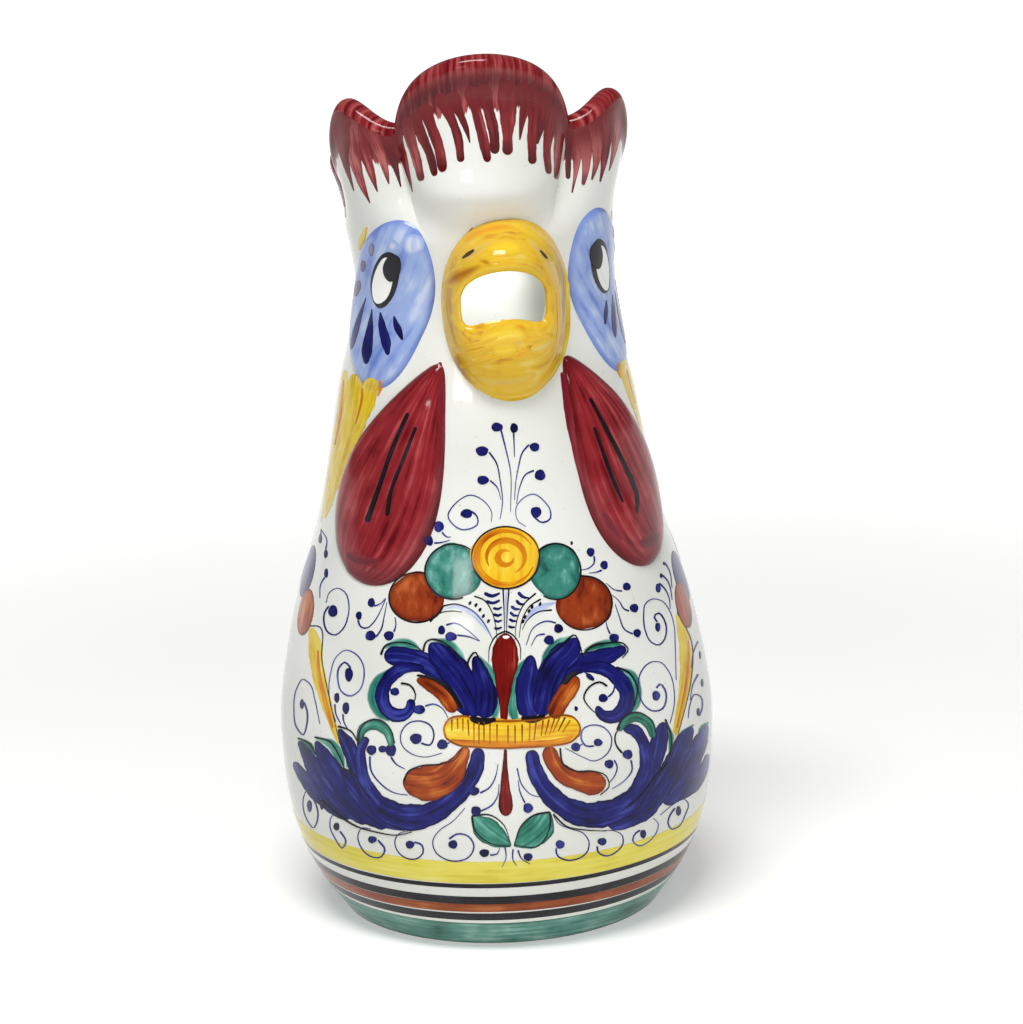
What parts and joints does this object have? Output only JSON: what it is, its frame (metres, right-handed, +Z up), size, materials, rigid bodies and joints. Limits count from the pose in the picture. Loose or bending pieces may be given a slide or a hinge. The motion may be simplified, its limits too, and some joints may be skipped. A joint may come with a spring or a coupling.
{
  "type": "pitcher",
  "caption": "Lidless glazed earthenware pitcher shaped like a hen: round belly, pouring hole in the beak, lobed comb as rim, relief cheeks and wattles, strap handle.",
  "frame": {"origin": "middle of the flat foot, on the surface that the pitcher stands on", "axes": "+Z up, -Y to the front where the beak points, +X to the viewer's right as the viewer faces the beak"},
  "size_m": [0.1252, 0.157, 0.25],
  "materials": {
    "white_glaze": "gloss",
    "comb_red": "gloss",
    "beak_yellow": "gloss",
    "cheek_blue": "gloss",
    "wattle_red": "gloss"
  },
  "bodies": {
    "root": {"vessel": "white_glaze", "comb": "comb_red", "upper_beak": "beak_yellow", "lower_beak": "beak_yellow", "left_cheek": "cheek_blue", "right_cheek": "cheek_blue", "left_wattle": "wattle_red", "right_wattle": "wattle_red", "handle": "white_glaze"}
  },
  "joints": []
}
